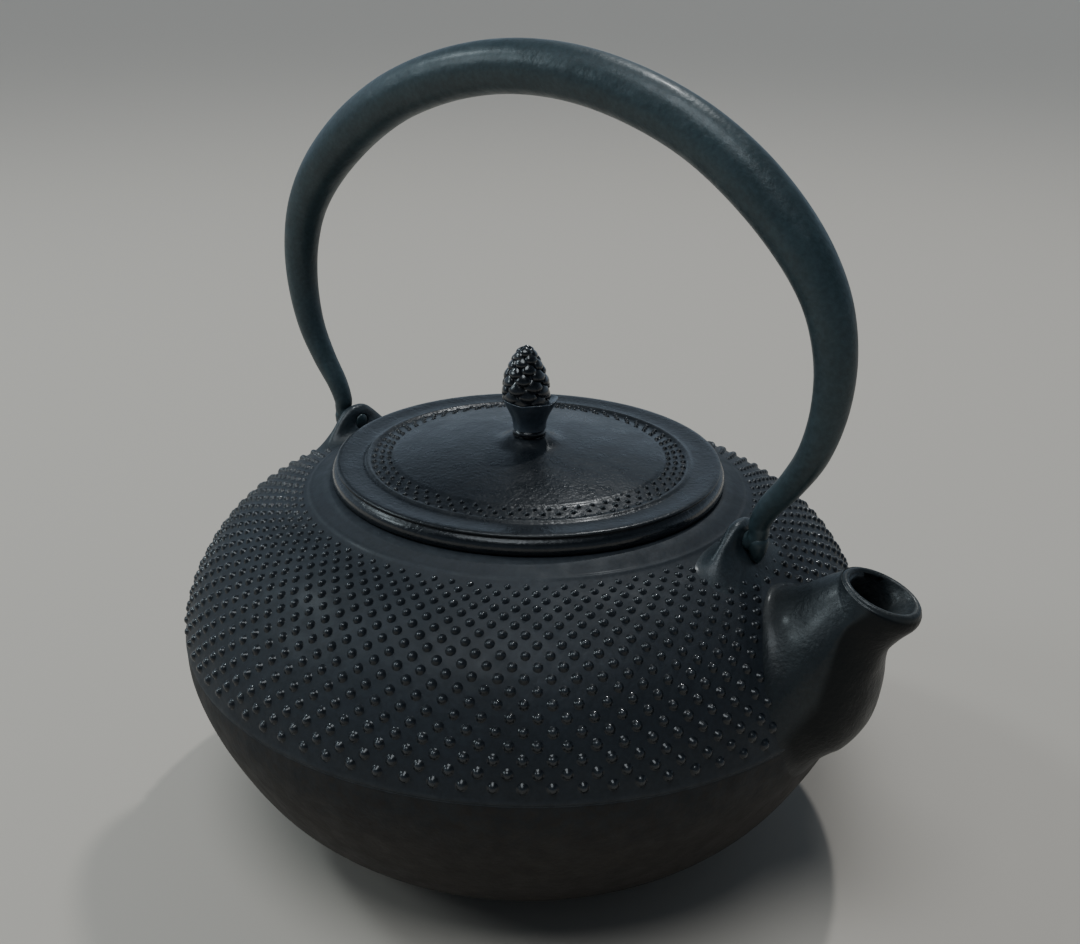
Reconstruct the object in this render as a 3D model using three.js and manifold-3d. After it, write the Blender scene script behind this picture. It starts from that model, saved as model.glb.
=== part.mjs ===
// A cast iron kettle of the Japanese tetsubin kind: a flattened round vessel, a short spout, two lugs (ears)
// that carry a swinging bail handle, and a lift-off lid with a riveted pine cone knob.
// Millimetres, +Z up. The origin is the centre of the flat base, on the surface that the kettle stands on.
// The spout points along +X, the ears stand at +X and -X, and the handle swings about the X direction.
import * as THREE from "three";
import { mergeVertices } from "three/addons/utils/BufferGeometryUtils.js";
import Module from "manifold-3d";

// ---- driving dimensions ----
const BODY_RADIUS = 93; // at the girth, over the tips of the cast dots
const GIRTH_Z = 54;
const BASE_RADIUS = 45;
const WALL = 3.2;
const GAP = 0.3; // clearance between solids that touch on the real kettle
const LIP_RADIUS = 54.2; // outside of the raised lip round the mouth
const LIP_Z = 95.2; // top of the lip, where the lid rests
const MOUTH_RADIUS = 46;

const LID_RADIUS = 52;
const LID_RIM_Z = 100.4; // top of the lid's flat border
const LID_BORDER_RADIUS = 42.4; // the border's inner edge, where the dome starts
const DOME_RISE = 4.8;
const LID_WALL = 3;
const SKIRT_RADIUS = 44.6; // the ring under the lid that centres it in the mouth
const SKIRT_WALL = 3.1;
const SKIRT_BOTTOM_Z = 88.5;

const RIVET_RADIUS = 1.7;
const PIN_HOLE_RADIUS = RIVET_RADIUS + GAP;
const WASHER_THICKNESS = 1.1;
const BOSS_RADIUS = 4.8; // the raised seat at the lid's centre
const BOSS_RISE = 1.4;
const KNOB_TOP_Z = 131;

const HINGE_Z = 95.2; // the handle turns about the line y = 0, z = HINGE_Z
const EAR_INNER_X = 61.8;
const EAR_THICKNESS = 4.2;
const EAR_TOP_Z = 99.9;
const EAR_TOP_HALF = 3.6;
const EAR_BASE_HALF = 12.5;
const EAR_HOLE_RADIUS = 2.7;

const HANDLE_TOP_Z = 199.4; // centreline of the grip
const LEG_X = 69; // the handle's leg, just outside the ear
const HOOK_BEND = 3; // centreline radius of the bend into the ear
const HOOK_TIP_X = 61.2;

const LATHE_SEGMENTS = 56;
const SMALL_SEGMENTS = 28;

// ---- materials ----
function castIron(color, roughness) {
  return new THREE.MeshStandardMaterial({ color, roughness, metalness: 0.75 });
}
const BLACK_IRON = castIron(0x23272b, 0.45);
const SPOUT_IRON = castIron(0x262c2e, 0.42);
const LID_IRON = castIron(0x2b2e33, 0.5);
const HANDLE_IRON = castIron(0x1d2529, 0.38);
const KNOB_IRON = castIron(0x121416, 0.25);
const STEEL = castIron(0x4a4744, 0.5);

// ---- solids ----
const wasm = await Module();
wasm.setup();

function toSolid(geometry) {
  const bare = geometry.clone();
  bare.deleteAttribute("normal");
  bare.deleteAttribute("uv");
  const merged = mergeVertices(bare, 1e-4);
  return new wasm.Manifold(
    new wasm.Mesh({
      numProp: 3,
      vertProperties: merged.attributes.position.array,
      triVerts: new Uint32Array(merged.index.array),
    }),
  );
}

function toGeometry(solid) {
  const { vertProperties, triVerts } = solid.getMesh();
  const geometry = new THREE.BufferGeometry();
  geometry.setAttribute("position", new THREE.BufferAttribute(vertProperties, 3));
  geometry.setIndex(new THREE.BufferAttribute(triVerts, 1));
  return geometry;
}

// A solid of revolution about +Z from [radius, z] pairs, outside first and upwards.
function turned(profile, segments = LATHE_SEGMENTS) {
  const points = profile.map(([radius, z]) => new THREE.Vector2(radius, z));
  return new THREE.LatheGeometry(points, segments).rotateX(Math.PI / 2);
}

// A closed solid through rings of points, with a flat fan on each end.
function loft(rings) {
  const size = rings[0].length;
  const corners = rings.flat();
  const faces = [];
  for (let ring = 0; ring < rings.length - 1; ring++) {
    for (let i = 0; i < size; i++) {
      const a = ring * size + i;
      const b = ring * size + ((i + 1) % size);
      faces.push(a, b, b + size, a, b + size, a + size);
    }
  }
  const last = (rings.length - 1) * size;
  const centres = [rings[0], rings.at(-1)].map((ring) =>
    ring.reduce((sum, point) => sum.add(point), new THREE.Vector3()).divideScalar(size),
  );
  const first = corners.push(...centres) - 2;
  for (let i = 0; i < size; i++) {
    const next = (i + 1) % size;
    faces.push(first, next, i);
    faces.push(first + 1, last + i, last + next);
  }
  const geometry = new THREE.BufferGeometry().setFromPoints(corners);
  geometry.setIndex(faces);
  return geometry;
}

function spline(points, divisions) {
  const curve = new THREE.SplineCurve(points.map(([x, y]) => new THREE.Vector2(x, y)));
  return curve.getPoints(divisions).map((point) => [point.x, point.y]);
}

// ---- vessel ----
// The outside, from the base's edge to the foot of the lip.
const OUTSIDE = spline(
  [
    [BASE_RADIUS, 0],
    [57, 3.6],
    [67.5, 9.2],
    [78, 19.4],
    [86, 32.4],
    [91.3, 44.6],
    [BODY_RADIUS, GIRTH_Z],
    [91, 64.3],
    [87, 72.7],
    [82, 79.6],
    [76, 84.9],
    [70, 88.7],
    [64, 91.5],
    [58, 93.4],
    [LIP_RADIUS, 94.2],
  ],
  26,
);

// The outline moved along its own normals: inwards for a positive distance.
function offset(outline, distance) {
  return outline.map(([radius, z], i) => {
    const before = outline[Math.max(i - 1, 0)];
    const after = outline[Math.min(i + 1, outline.length - 1)];
    const run = new THREE.Vector2(after[0] - before[0], after[1] - before[1]).normalize();
    return [radius - run.y * distance, z + run.x * distance];
  });
}

// The space that the vessel fills, grown by the gap: spout and ears are cut back to it.
function vesselEnvelope() {
  const skin = offset(OUTSIDE, -GAP);
  return toSolid(turned([[0, -GAP], [BASE_RADIUS, -GAP], ...skin.slice(1), [0, LIP_Z]]));
}

function vesselShell() {
  const floor = WALL;
  const inside = offset(OUTSIDE, WALL).filter(([radius, z]) => z > floor + 1 && radius > MOUTH_RADIUS + 4);
  return toSolid(
    turned([
      [0, 0],
      ...OUTSIDE,
      [LIP_RADIUS, LIP_Z],
      [MOUTH_RADIUS, LIP_Z],
      [MOUTH_RADIUS, 91],
      ...inside.reverse(),
      [BASE_RADIUS, floor],
      [0, floor],
    ]),
  );
}

// ---- spout ----
// A section of the spout, or of its channel, lies across the plane y = 0. It is given by the top and the
// bottom of the section in that plane, [x, z], and by its half width along Y.
const SPOUT_SECTIONS = [
  { top: [66, 84], bottom: [78, 43], half: 18.6 },
  { top: [75, 84.4], bottom: [91, 46], half: 18.4 },
  { top: [79.5, 87.3], bottom: [96.6, 50.2], half: 17.8 },
  { top: [83.5, 90], bottom: [100.4, 56.2], half: 16.2 },
  { top: [86.8, 92.1], bottom: [102.2, 65], half: 13.8 },
  { top: [89.1, 93.6], bottom: [102.6, 72.5], half: 11.8 },
  { top: [90.5, 94.5], bottom: [103.6, 78], half: 10.2 },
  { top: [91.1, 95], bottom: [106.6, 82.6], half: 9 },
  { top: [91.3, 95.3], bottom: [109.8, 86.4], half: 8.3 },
  { top: [91.4, 95.6], bottom: [110.4, 89.8], half: 7.9 },
];
const CHANNEL_SECTIONS = [
  { top: [78, 76], bottom: [82, 60], half: 9 },
  { top: [88, 80.5], bottom: [92.6, 61.5], half: 8.2 },
  { top: [92, 86.5], bottom: [98.6, 68], half: 7.2 },
  { top: [93.2, 90.6], bottom: [99.8, 77], half: 6.4 },
  { top: [93.5, 93], bottom: [100.8, 84.4], half: 6.1 },
  { top: [93.5, 94.4], bottom: [103.6, 88.2], half: 6.1 },
  { top: [93.4, 95.2], bottom: [108, 90.1], half: 6.3 },
  { top: [93.2, 98], bottom: [110, 94], half: 6.5 },
];

function sectionRing({ top, bottom, half }, count) {
  const middle = [(top[0] + bottom[0]) / 2, (top[1] + bottom[1]) / 2];
  const reach = [(top[0] - bottom[0]) / 2, (top[1] - bottom[1]) / 2];
  const ring = [];
  for (let i = 0; i < count; i++) {
    const angle = (2 * Math.PI * i) / count;
    const up = Math.cos(angle);
    const side = -half * Math.sin(angle);
    ring.push(new THREE.Vector3(middle[0] + reach[0] * up, side, middle[1] + reach[1] * up));
  }
  return ring;
}

function spoutChannel() {
  return toSolid(loft(CHANNEL_SECTIONS.map((section) => sectionRing(section, 24))));
}

function spoutSolid() {
  const outer = toSolid(loft(SPOUT_SECTIONS.map((section) => sectionRing(section, 32))));
  return outer.subtract(spoutChannel()).subtract(vesselEnvelope());
}

// ---- ears ----
// One lug, standing across the X direction, with the hole that the handle's hook turns in.
function earSolid() {
  const outline = new THREE.Shape();
  outline.moveTo(-EAR_BASE_HALF, 86);
  outline.lineTo(EAR_BASE_HALF, 86);
  outline.lineTo(EAR_BASE_HALF - 1, 90.5);
  outline.lineTo(EAR_TOP_HALF + 1.6, EAR_TOP_Z - 2.6);
  outline.quadraticCurveTo(EAR_TOP_HALF, EAR_TOP_Z, EAR_TOP_HALF - 2, EAR_TOP_Z);
  outline.lineTo(-EAR_TOP_HALF + 2, EAR_TOP_Z);
  outline.quadraticCurveTo(-EAR_TOP_HALF, EAR_TOP_Z, -EAR_TOP_HALF - 1.6, EAR_TOP_Z - 2.6);
  outline.lineTo(-EAR_BASE_HALF + 1, 90.5);
  outline.closePath();
  outline.holes.push(new THREE.Path().absarc(0, HINGE_Z, EAR_HOLE_RADIUS, 0, 2 * Math.PI));
  const plate = new THREE.ExtrudeGeometry(outline, {
    depth: EAR_THICKNESS,
    bevelEnabled: false,
    curveSegments: 10,
  });
  const across = new THREE.Matrix4().makeBasis(
    new THREE.Vector3(0, 1, 0),
    new THREE.Vector3(0, 0, 1),
    new THREE.Vector3(1, 0, 0),
  );
  plate.applyMatrix4(across).translate(EAR_INNER_X, 0, 0);
  return toSolid(plate).subtract(vesselEnvelope());
}

// ---- handle ----
// Half of the centreline in the plane y = 0, from the middle of the grip to the tip of the hook, as
// { x, z, radius }: a thick grip that thins towards the legs.
const HANDLE_HALF = [
  { x: 0, z: HANDLE_TOP_Z, radius: 6.5 },
  { x: 16, z: 198.1, radius: 6.5 },
  { x: 32, z: 194.2, radius: 6.5 },
  { x: 47, z: 188, radius: 6.5 },
  { x: 60.5, z: 179.2, radius: 6.5 },
  { x: 72, z: 168.4, radius: 6.15 },
  { x: 79.8, z: 157, radius: 5.5 },
  { x: 83.4, z: 145, radius: 4.9 },
  { x: 83.6, z: 133, radius: 4.35 },
  { x: 81, z: 121.5, radius: 3.8 },
  { x: 76.2, z: 112.4, radius: 3.3 },
  { x: 71.2, z: 105.4, radius: 2.9 },
  { x: LEG_X, z: 100.6, radius: 2.6 },
];

function hookPoints() {
  const centre = { x: LEG_X - HOOK_BEND, z: HINGE_Z + HOOK_BEND };
  const bend = [0, 30, 60, 90].map((degrees) => {
    const angle = THREE.MathUtils.degToRad(degrees);
    const x = centre.x + HOOK_BEND * Math.cos(angle);
    return { x, z: centre.z - HOOK_BEND * Math.sin(angle), radius: 2.4 };
  });
  return [...bend, { x: 63.6, z: HINGE_Z, radius: 2.1 }, { x: HOOK_TIP_X, z: HINGE_Z, radius: 1.3 }];
}

// The centreline smoothed between its points, with the radius carried along.
function smoothed(points, perSpan) {
  const centres = points.map(({ x, z }) => new THREE.Vector3(x, 0, z));
  const path = new THREE.CatmullRomCurve3(centres, false, "centripetal");
  const steps = (points.length - 1) * perSpan;
  return Array.from({ length: steps + 1 }, (_, step) => {
    const at = step / perSpan;
    const i = Math.min(Math.floor(at), points.length - 2);
    const radius = THREE.MathUtils.lerp(points[i].radius, points[i + 1].radius, at - i);
    return { centre: path.getPoint(step / steps), along: path.getTangent(step / steps), radius };
  });
}

function handleSolid() {
  const half = [...HANDLE_HALF, ...hookPoints()];
  const mirrored = half.slice(1).map(({ x, z, radius }) => ({ x: -x, z, radius }));
  const stations = smoothed([...mirrored.reverse(), ...half], 2);
  const sides = 14;
  const sideways = new THREE.Vector3(0, 1, 0);
  const rings = stations.map(({ centre, along, radius }) => {
    const outward = new THREE.Vector3().crossVectors(sideways, along).normalize();
    return Array.from({ length: sides }, (_, i) => {
      const angle = (2 * Math.PI * i) / sides;
      return centre
        .clone()
        .addScaledVector(outward, radius * Math.cos(angle))
        .addScaledVector(sideways, radius * Math.sin(angle));
    });
  });
  const tails = [1, -1].map((end) => heelSolid(end));
  return tails.reduce((bar, tail) => bar.add(tail), toSolid(loft(rings)));
}

// The pointed heel that is left below the bend where the bar's end was drawn out.
function heelSolid(end) {
  const heel = turned(
    [
      [0, HINGE_Z - 5.4],
      [0.9, HINGE_Z - 5.1],
      [1.9, HINGE_Z - 3.4],
      [2.5, HINGE_Z - 1],
      [2.5, HINGE_Z + 1.5],
      [0, HINGE_Z + 1.5],
    ],
    16,
  );
  return toSolid(heel).translate([end * LEG_X, 0, 0]);
}

// ---- lid and knob ----
function domeZ(radius) {
  return LID_RIM_Z + DOME_RISE * (1 - (radius / LID_BORDER_RADIUS) ** 2);
}

function lidSolid() {
  const radii = [PIN_HOLE_RADIUS, 12, 20, 28, 35, 41];
  const boss = [
    [BOSS_RADIUS + 5, domeZ(BOSS_RADIUS + 5)],
    [BOSS_RADIUS + 2.4, SEAT_Z - 1],
    [BOSS_RADIUS + 0.8, SEAT_Z - 0.3],
    [BOSS_RADIUS - 0.4, SEAT_Z],
    [PIN_HOLE_RADIUS, SEAT_Z],
  ];
  const dome = radii.slice(1).map((radius) => [radius, domeZ(radius)]);
  const skirtInner = SKIRT_RADIUS - SKIRT_WALL;
  const vault = radii.map((radius) => [Math.min(radius, skirtInner), domeZ(radius) - LID_WALL]);
  return toSolid(
    turned([
      [skirtInner, SKIRT_BOTTOM_Z],
      [SKIRT_RADIUS - 0.4, SKIRT_BOTTOM_Z],
      [SKIRT_RADIUS, LIP_Z + GAP],
      [LID_RADIUS - 0.8, LIP_Z + GAP],
      [LID_RADIUS - 0.2, LIP_Z + 1.3],
      [LID_RADIUS, LIP_Z + 2.4],
      [LID_RADIUS - 0.1, LIP_Z + 3.3],
      [LID_RADIUS - 0.7, LIP_Z + 4.3],
      [LID_RADIUS - 1.3, LID_RIM_Z],
      [LID_BORDER_RADIUS, LID_RIM_Z],
      ...dome.toReversed(),
      ...boss,
      ...vault,
      [skirtInner, domeZ(skirtInner) - LID_WALL - 0.2],
      [skirtInner, SKIRT_BOTTOM_Z],
    ]),
  );
}

const SEAT_Z = domeZ(0) + BOSS_RISE; // top of the lid at the knob
const VAULT_Z = domeZ(0) - LID_WALL; // underside of the lid there
const KNOB_FOOT_Z = SEAT_Z + 2 * GAP + WASHER_THICKNESS;

function washer(bottomZ, radius) {
  const top = bottomZ + WASHER_THICKNESS;
  const ring = [
    [PIN_HOLE_RADIUS, bottomZ],
    [radius, bottomZ],
    [radius, top - 0.4],
    [radius - 0.5, top],
    [PIN_HOLE_RADIUS, top],
    [PIN_HOLE_RADIUS, bottomZ],
  ];
  return toSolid(turned(ring, SMALL_SEGMENTS));
}

const UNDER_WASHER_Z = VAULT_Z - GAP - WASHER_THICKNESS;
const RIVET_TOP_Z = KNOB_FOOT_Z + 8;

function rivetSolid() {
  const headTop = UNDER_WASHER_Z - GAP;
  return toSolid(
    turned(
      [
        [0, headTop - 1.6],
        [1.6, headTop - 1.4],
        [3, headTop - 0.7],
        [3.3, headTop],
        [RIVET_RADIUS, headTop],
        [RIVET_RADIUS, RIVET_TOP_Z],
        [0, RIVET_TOP_Z],
      ],
      SMALL_SEGMENTS,
    ),
  );
}

// The knob: a stem, a flared cup and the cone of scales that stands in it, in one casting with a blind
// rivet hole.
function knobSolid() {
  return toSolid(
    turned(
      [
        [0, RIVET_TOP_Z + GAP],
        [PIN_HOLE_RADIUS, RIVET_TOP_Z + GAP],
        [PIN_HOLE_RADIUS, KNOB_FOOT_Z],
        [4.6, KNOB_FOOT_Z],
        [4.4, KNOB_FOOT_Z + 1],
        [5.2, KNOB_FOOT_Z + 3.4],
        [7.4, KNOB_FOOT_Z + 7.4],
        [7.4, KNOB_FOOT_Z + 8.2],
        [6.4, KNOB_FOOT_Z + 8.6],
        [6.5, KNOB_FOOT_Z + 11],
        [5.6, KNOB_FOOT_Z + 16],
        [4, KNOB_FOOT_Z + 20],
        [2.2, KNOB_TOP_Z - 0.8],
        [0, KNOB_TOP_Z],
      ],
      SMALL_SEGMENTS,
    ),
  );
}

// ---- assembly ----
const kettle = new THREE.Group();

function add(name, solid, material) {
  const mesh = new THREE.Mesh(toGeometry(solid), material);
  mesh.name = name;
  kettle.add(mesh);
  return mesh;
}

add("kettle_body", vesselShell().subtract(spoutChannel()), BLACK_IRON);
add("spout", spoutSolid(), SPOUT_IRON);
add("front_ear", earSolid(), BLACK_IRON);
add("rear_ear", earSolid(), BLACK_IRON).rotation.z = Math.PI;
add("handle", handleSolid(), HANDLE_IRON);
add("lid", lidSolid(), LID_IRON);
add("knob", knobSolid(), KNOB_IRON);
add("knob_rivet", rivetSolid(), STEEL);
add("seat_washer", washer(SEAT_Z + GAP, 4.4), KNOB_IRON);
add("under_washer", washer(UNDER_WASHER_Z, 6.5), STEEL);

export default kettle;
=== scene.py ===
import math

import bmesh
import bpy
import numpy as np
from mathutils import Matrix, Vector


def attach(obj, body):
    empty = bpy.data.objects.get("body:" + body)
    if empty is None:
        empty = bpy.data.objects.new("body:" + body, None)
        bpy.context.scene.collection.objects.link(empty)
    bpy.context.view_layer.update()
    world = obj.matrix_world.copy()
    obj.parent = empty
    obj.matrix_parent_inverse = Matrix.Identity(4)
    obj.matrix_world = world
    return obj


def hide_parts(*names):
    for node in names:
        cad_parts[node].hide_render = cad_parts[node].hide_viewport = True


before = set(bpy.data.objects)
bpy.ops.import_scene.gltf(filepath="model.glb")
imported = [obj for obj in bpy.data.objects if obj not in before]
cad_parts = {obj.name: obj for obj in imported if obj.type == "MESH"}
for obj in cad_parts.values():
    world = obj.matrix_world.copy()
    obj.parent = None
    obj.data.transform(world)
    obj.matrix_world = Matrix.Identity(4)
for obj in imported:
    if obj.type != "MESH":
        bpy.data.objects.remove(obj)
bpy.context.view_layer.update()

MM = 0.001
TAU = 2 * math.pi

# ---- main dimensions, in millimetres ----
WALL = 3.2
LIP_Z = 95.2
MOUTH_RADIUS = 46
SEAM_Z = 55.7
DOT_HEIGHT = 0.95
OUTLINE = [
    # radius and z of the vessel's outside, from the base to the lip
    (45, 0),
    (57, 3.6),
    (67.5, 9.2),
    (78, 19.4),
    (86, 32.4),
    (91.3, 44.6),
    (93, 54),
    (91, 64.3),
    (87, 72.7),
    (82, 79.6),
    (76, 84.9),
    (70, 88.7),
    (64, 91.5),
    (58, 93.4),
    (54.2, 94.2),
]
HINGE_Z = 95.2
LID_RIM_Z = 100.4
LID_BORDER_RADIUS = 42.4
DOME_RISE = 4.8


# ---- small tools ----
def catmull(points, per_span):
    """Points along a smooth (Catmull-Rom) curve through the given rows."""
    p = np.asarray(points, float)
    ext = np.vstack([2 * p[0] - p[1], p, 2 * p[-1] - p[-2]])
    rows = []
    for i in range(len(p) - 1):
        a, b, c, d = ext[i : i + 4]
        square = 2 * a - 5 * b + 4 * c - d
        cube = 3 * b - a - 3 * c + d
        for k in range(per_span):
            t = k / per_span
            rows.append(0.5 * ((2 * b) + (c - a) * t + square * t * t + cube * t**3))
    rows.append(p[-1])
    return np.array(rows)


def length_along(line):
    """Distance along a line of points from its first point to each of them."""
    return np.concatenate([[0], np.cumsum(np.linalg.norm(np.diff(line, axis=0), axis=1))])


def resample(line, count):
    """The same line in space with points at equal distances."""
    run = length_along(line)
    at = np.linspace(0, run[-1], count)
    return np.stack([np.interp(at, run, line[:, i]) for i in range(3)], 1)


def superellipse(share, power):
    """The sine or cosine of a section's angle, bent by an exponent. An exponent of 2 keeps the circle."""
    return math.copysign(abs(share) ** (2 / power), share)


def outward(line):
    """Unit normals of a 2-D outline that runs from the base upwards, pointing away from the axis."""
    run = np.gradient(line, axis=0)
    run /= np.linalg.norm(run, axis=1, keepdims=True)
    return np.stack([run[:, 1], -run[:, 0]], 1)


def link(name, mesh, material, smooth=True):
    """Puts a mesh into the scene with its material or list of materials."""
    obj = bpy.data.objects.new(name, mesh)
    bpy.context.scene.collection.objects.link(obj)
    for item in material if isinstance(material, (list, tuple)) else [material]:
        mesh.materials.append(item)
    if smooth:
        mesh.polygons.foreach_set("use_smooth", [True] * len(mesh.polygons))
    return obj


def make(name, verts, faces, material, smooth=True, values=None):
    """A mesh object from millimetre vertices. values is {attribute: number per vertex}."""
    mesh = bpy.data.meshes.new(name)
    mesh.from_pydata((np.asarray(verts, float) * MM).tolist(), [], [list(map(int, f)) for f in faces])
    mesh.update()
    for key, numbers in (values or {}).items():
        layer = mesh.attributes.new(key, "FLOAT", "POINT")
        layer.data.foreach_set("value", np.asarray(numbers, np.float32))
    return link(name, mesh, material, smooth)


def grid_faces(rows, columns, start=0, flip=False):
    """Quads between closed rings of points that were stored one ring after the other."""
    faces = []
    for r in range(rows - 1):
        for c in range(columns):
            a = start + r * columns + c
            b = start + r * columns + (c + 1) % columns
            face = (a, b, b + columns, a + columns)
            faces.append(face[::-1] if flip else face)
    return faces


def lathe(profile, segments):
    """Vertices and faces of a solid of revolution about Z. Points on the axis become one vertex each."""
    verts, faces, rings = [], [], []
    for radius, z in profile:
        if radius < 1e-6:
            rings.append([len(verts)])
            verts.append((0, 0, z))
        else:
            rings.append(list(range(len(verts), len(verts) + segments)))
            for k in range(segments):
                angle = TAU * k / segments
                verts.append((radius * math.cos(angle), radius * math.sin(angle), z))
    for low, high in zip(rings, rings[1:]):
        for k in range(segments):
            n = (k + 1) % segments
            if len(low) == 1 and len(high) == 1:
                break
            if len(low) == 1:
                faces.append((low[0], high[n], high[k]))
            elif len(high) == 1:
                faces.append((low[k], low[n], high[0]))
            else:
                faces.append((low[k], low[n], high[n], high[k]))
    return np.array(verts, float), faces


def hash01(i, salt):
    """A repeatable number between 0 and 1."""
    value = math.sin(i * 12.9898 + salt * 78.233) * 43758.5453
    return value - math.floor(value)


# ---- materials ----
GRAIN_SCALE = 900
GRAIN_DEPTH = 0.00007
BROAD_DEPTH = 0.00045
SPECK_SHARE = 0.45
POLISH_ROUGHNESS = -0.18


def add_noise(tree, place, scale, detail, roughness=0.55):
    node = tree.nodes.new("ShaderNodeTexNoise")
    node.inputs["Scale"].default_value = scale
    node.inputs["Detail"].default_value = detail
    node.inputs["Roughness"].default_value = roughness
    tree.links.new(place.outputs["Object"], node.inputs["Vector"])
    return node.outputs["Fac"]


def add_range(tree, value, low, high, to_low=0.0, to_high=1.0):
    """The value carried over from low..high to to_low..to_high."""
    node = tree.nodes.new("ShaderNodeMapRange")
    node.inputs["From Min"].default_value = low
    node.inputs["From Max"].default_value = high
    node.inputs["To Min"].default_value = to_low
    node.inputs["To Max"].default_value = to_high
    tree.links.new(value, node.inputs["Value"])
    return node.outputs["Result"]


def add_mix(tree, factor, first, second):
    """A colour between two others. The factor is a number or a socket, each colour a tuple or a socket."""
    node = tree.nodes.new("ShaderNodeMix")
    node.data_type = "RGBA"
    if isinstance(factor, float):
        node.inputs["Factor"].default_value = factor
    else:
        tree.links.new(factor, node.inputs["Factor"])
    sockets = [socket for socket in node.inputs if socket.type == "RGBA"]
    for socket, colour in zip(sockets, (first, second)):
        if isinstance(colour, tuple):
            socket.default_value = (*colour, 1)
        else:
            tree.links.new(colour, socket)
    return [socket for socket in node.outputs if socket.type == "RGBA"][0]


def add_math(tree, operation, *values):
    node = tree.nodes.new("ShaderNodeMath")
    node.operation = operation
    for socket, value in zip(node.inputs, values):
        if isinstance(value, float):
            socket.default_value = value
        else:
            tree.links.new(value, socket)
    return node.outputs[0]


def add_attribute(tree, name):
    node = tree.nodes.new("ShaderNodeAttribute")
    node.attribute_name = name
    return node.outputs["Fac"]


def add_bump(tree, height, depth, normal=None):
    node = tree.nodes.new("ShaderNodeBump")
    node.inputs["Strength"].default_value = 1.0
    node.inputs["Distance"].default_value = depth
    tree.links.new(height, node.inputs["Height"])
    if normal is not None:
        tree.links.new(normal, node.inputs["Normal"])
    return node.outputs["Normal"]


def iron(name, dark, light, rough, grain=1.0, metal=0.1, wear_and_painted_light=None, clear=0.0, uneven=1.0, coat=0.18):
    """Cast iron: colour in patches, fine sand-cast grain and broad unevenness. Mesh attributes change it:
    "wear_and_painted_light" brings out a second colour: wear, painted light in the spout's channel, and on
    the bowl the blue that its painted floor reflection fades into. "darkening" darkens it and dulls its
    shine: painted shade at the dots' feet and on the spout, an even darker tone on the lid. "polish" makes it
    glossy or, below 0, duller."""
    material = bpy.data.materials.new(name)
    material.use_nodes = True
    tree = material.node_tree
    bsdf = tree.nodes["Principled BSDF"].inputs
    bsdf["Metallic"].default_value = metal
    bsdf["Coat Weight"].default_value = clear
    bsdf["Coat Roughness"].default_value = coat
    place = tree.nodes.new("ShaderNodeTexCoord")
    fine = add_noise(tree, place, GRAIN_SCALE, 3, 0.6)
    darkening = add_attribute(tree, "darkening")
    polish = add_attribute(tree, "polish")

    patches = add_range(tree, add_noise(tree, place, 55, 4), 0.35, 0.68)
    specks = add_range(tree, fine, 0.3, 0.75)
    patch_colour = add_mix(tree, patches, dark, light)
    speck_colour = add_mix(tree, specks, tuple(0.72 * c for c in dark), tuple(1.25 * c for c in light))
    colour = add_mix(tree, SPECK_SHARE, patch_colour, speck_colour)
    # A second colour: wear; painted light in the spout's channel; on the bowl, the blue that the painted
    # floor reflection fades into.
    if wear_and_painted_light is not None:
        broken = add_range(tree, add_noise(tree, place, 420, 4), 0.32, 0.62, 0.15, 1.0)
        second_colour_share = add_math(tree, "MULTIPLY", add_attribute(tree, "wear_and_painted_light"), broken)
        colour = add_mix(tree, second_colour_share, colour, wear_and_painted_light)
    # The darkening: painted shade at the dots' feet and on the spout's underside and top near the root; an
    # even darker tone over the lid.
    colour = add_mix(tree, darkening, colour, tuple(0.5 * c for c in dark))
    tree.links.new(colour, bsdf["Base Color"])
    tree.links.new(add_range(tree, darkening, 0, 1, 0.5, 0.2), bsdf["Specular IOR Level"])

    roughness = add_range(tree, add_noise(tree, place, 190, 4), 0.3, 0.7, rough - 0.06, rough + 0.08)
    roughness = add_math(tree, "MULTIPLY_ADD", polish, POLISH_ROUGHNESS, roughness)
    tree.links.new(roughness, bsdf["Roughness"])
    tree.links.new(add_range(tree, polish, 0, 1, clear, 1.0), bsdf["Coat Weight"])

    grained = add_bump(tree, fine, GRAIN_DEPTH * grain)
    broad = add_noise(tree, place, 120, 3, 0.5)
    tree.links.new(add_bump(tree, broad, BROAD_DEPTH * uneven, grained), bsdf["Normal"])
    return material


BLUE_DARK = (0.0085, 0.0122, 0.0168)
BLUE_LIGHT = (0.0165, 0.0235, 0.032)
BODY_IRON = iron("body_iron", BLUE_DARK, BLUE_LIGHT, 0.6, clear=0.03, wear_and_painted_light=(0.05, 0.06, 0.07))
DOT_IRON = iron("dot_iron", BLUE_DARK, BLUE_LIGHT, 0.45, clear=0.6, coat=0.09, uneven=0.5)
# The bowl's brown is a painted reflection of a wooden floor; its second colour is the blue it fades to
# towards the seam.
BOWL_IRON = iron(
    "bowl_iron",
    (0.009, 0.007, 0.0058),
    (0.0205, 0.0155, 0.012),
    0.66,
    grain=1.4,
    wear_and_painted_light=(0.0095, 0.0125, 0.016),
)
INNER_IRON = iron("inner_iron", (0.012, 0.012, 0.012), (0.035, 0.028, 0.022), 0.7, grain=1.5, metal=0.35)
SPOUT_IRON = iron(
    "spout_iron",
    (0.0085, 0.0122, 0.0145),
    (0.0165, 0.0235, 0.0275),
    0.42,
    grain=2.6,
    clear=0.12,
    wear_and_painted_light=(0.075, 0.075, 0.07),
)
HANDLE_IRON = iron("handle_iron", (0.022, 0.039, 0.0455), (0.04, 0.069, 0.08), 0.42, grain=1.2, clear=0.08)
LID_IRON = iron(
    "lid_iron",
    (0.0085, 0.011, 0.0145),
    (0.0155, 0.0198, 0.025),
    0.3,
    grain=2.2,
    clear=0.1,
    coat=0.12,
    uneven=0.45,
    wear_and_painted_light=(0.055, 0.058, 0.06),
)
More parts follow.
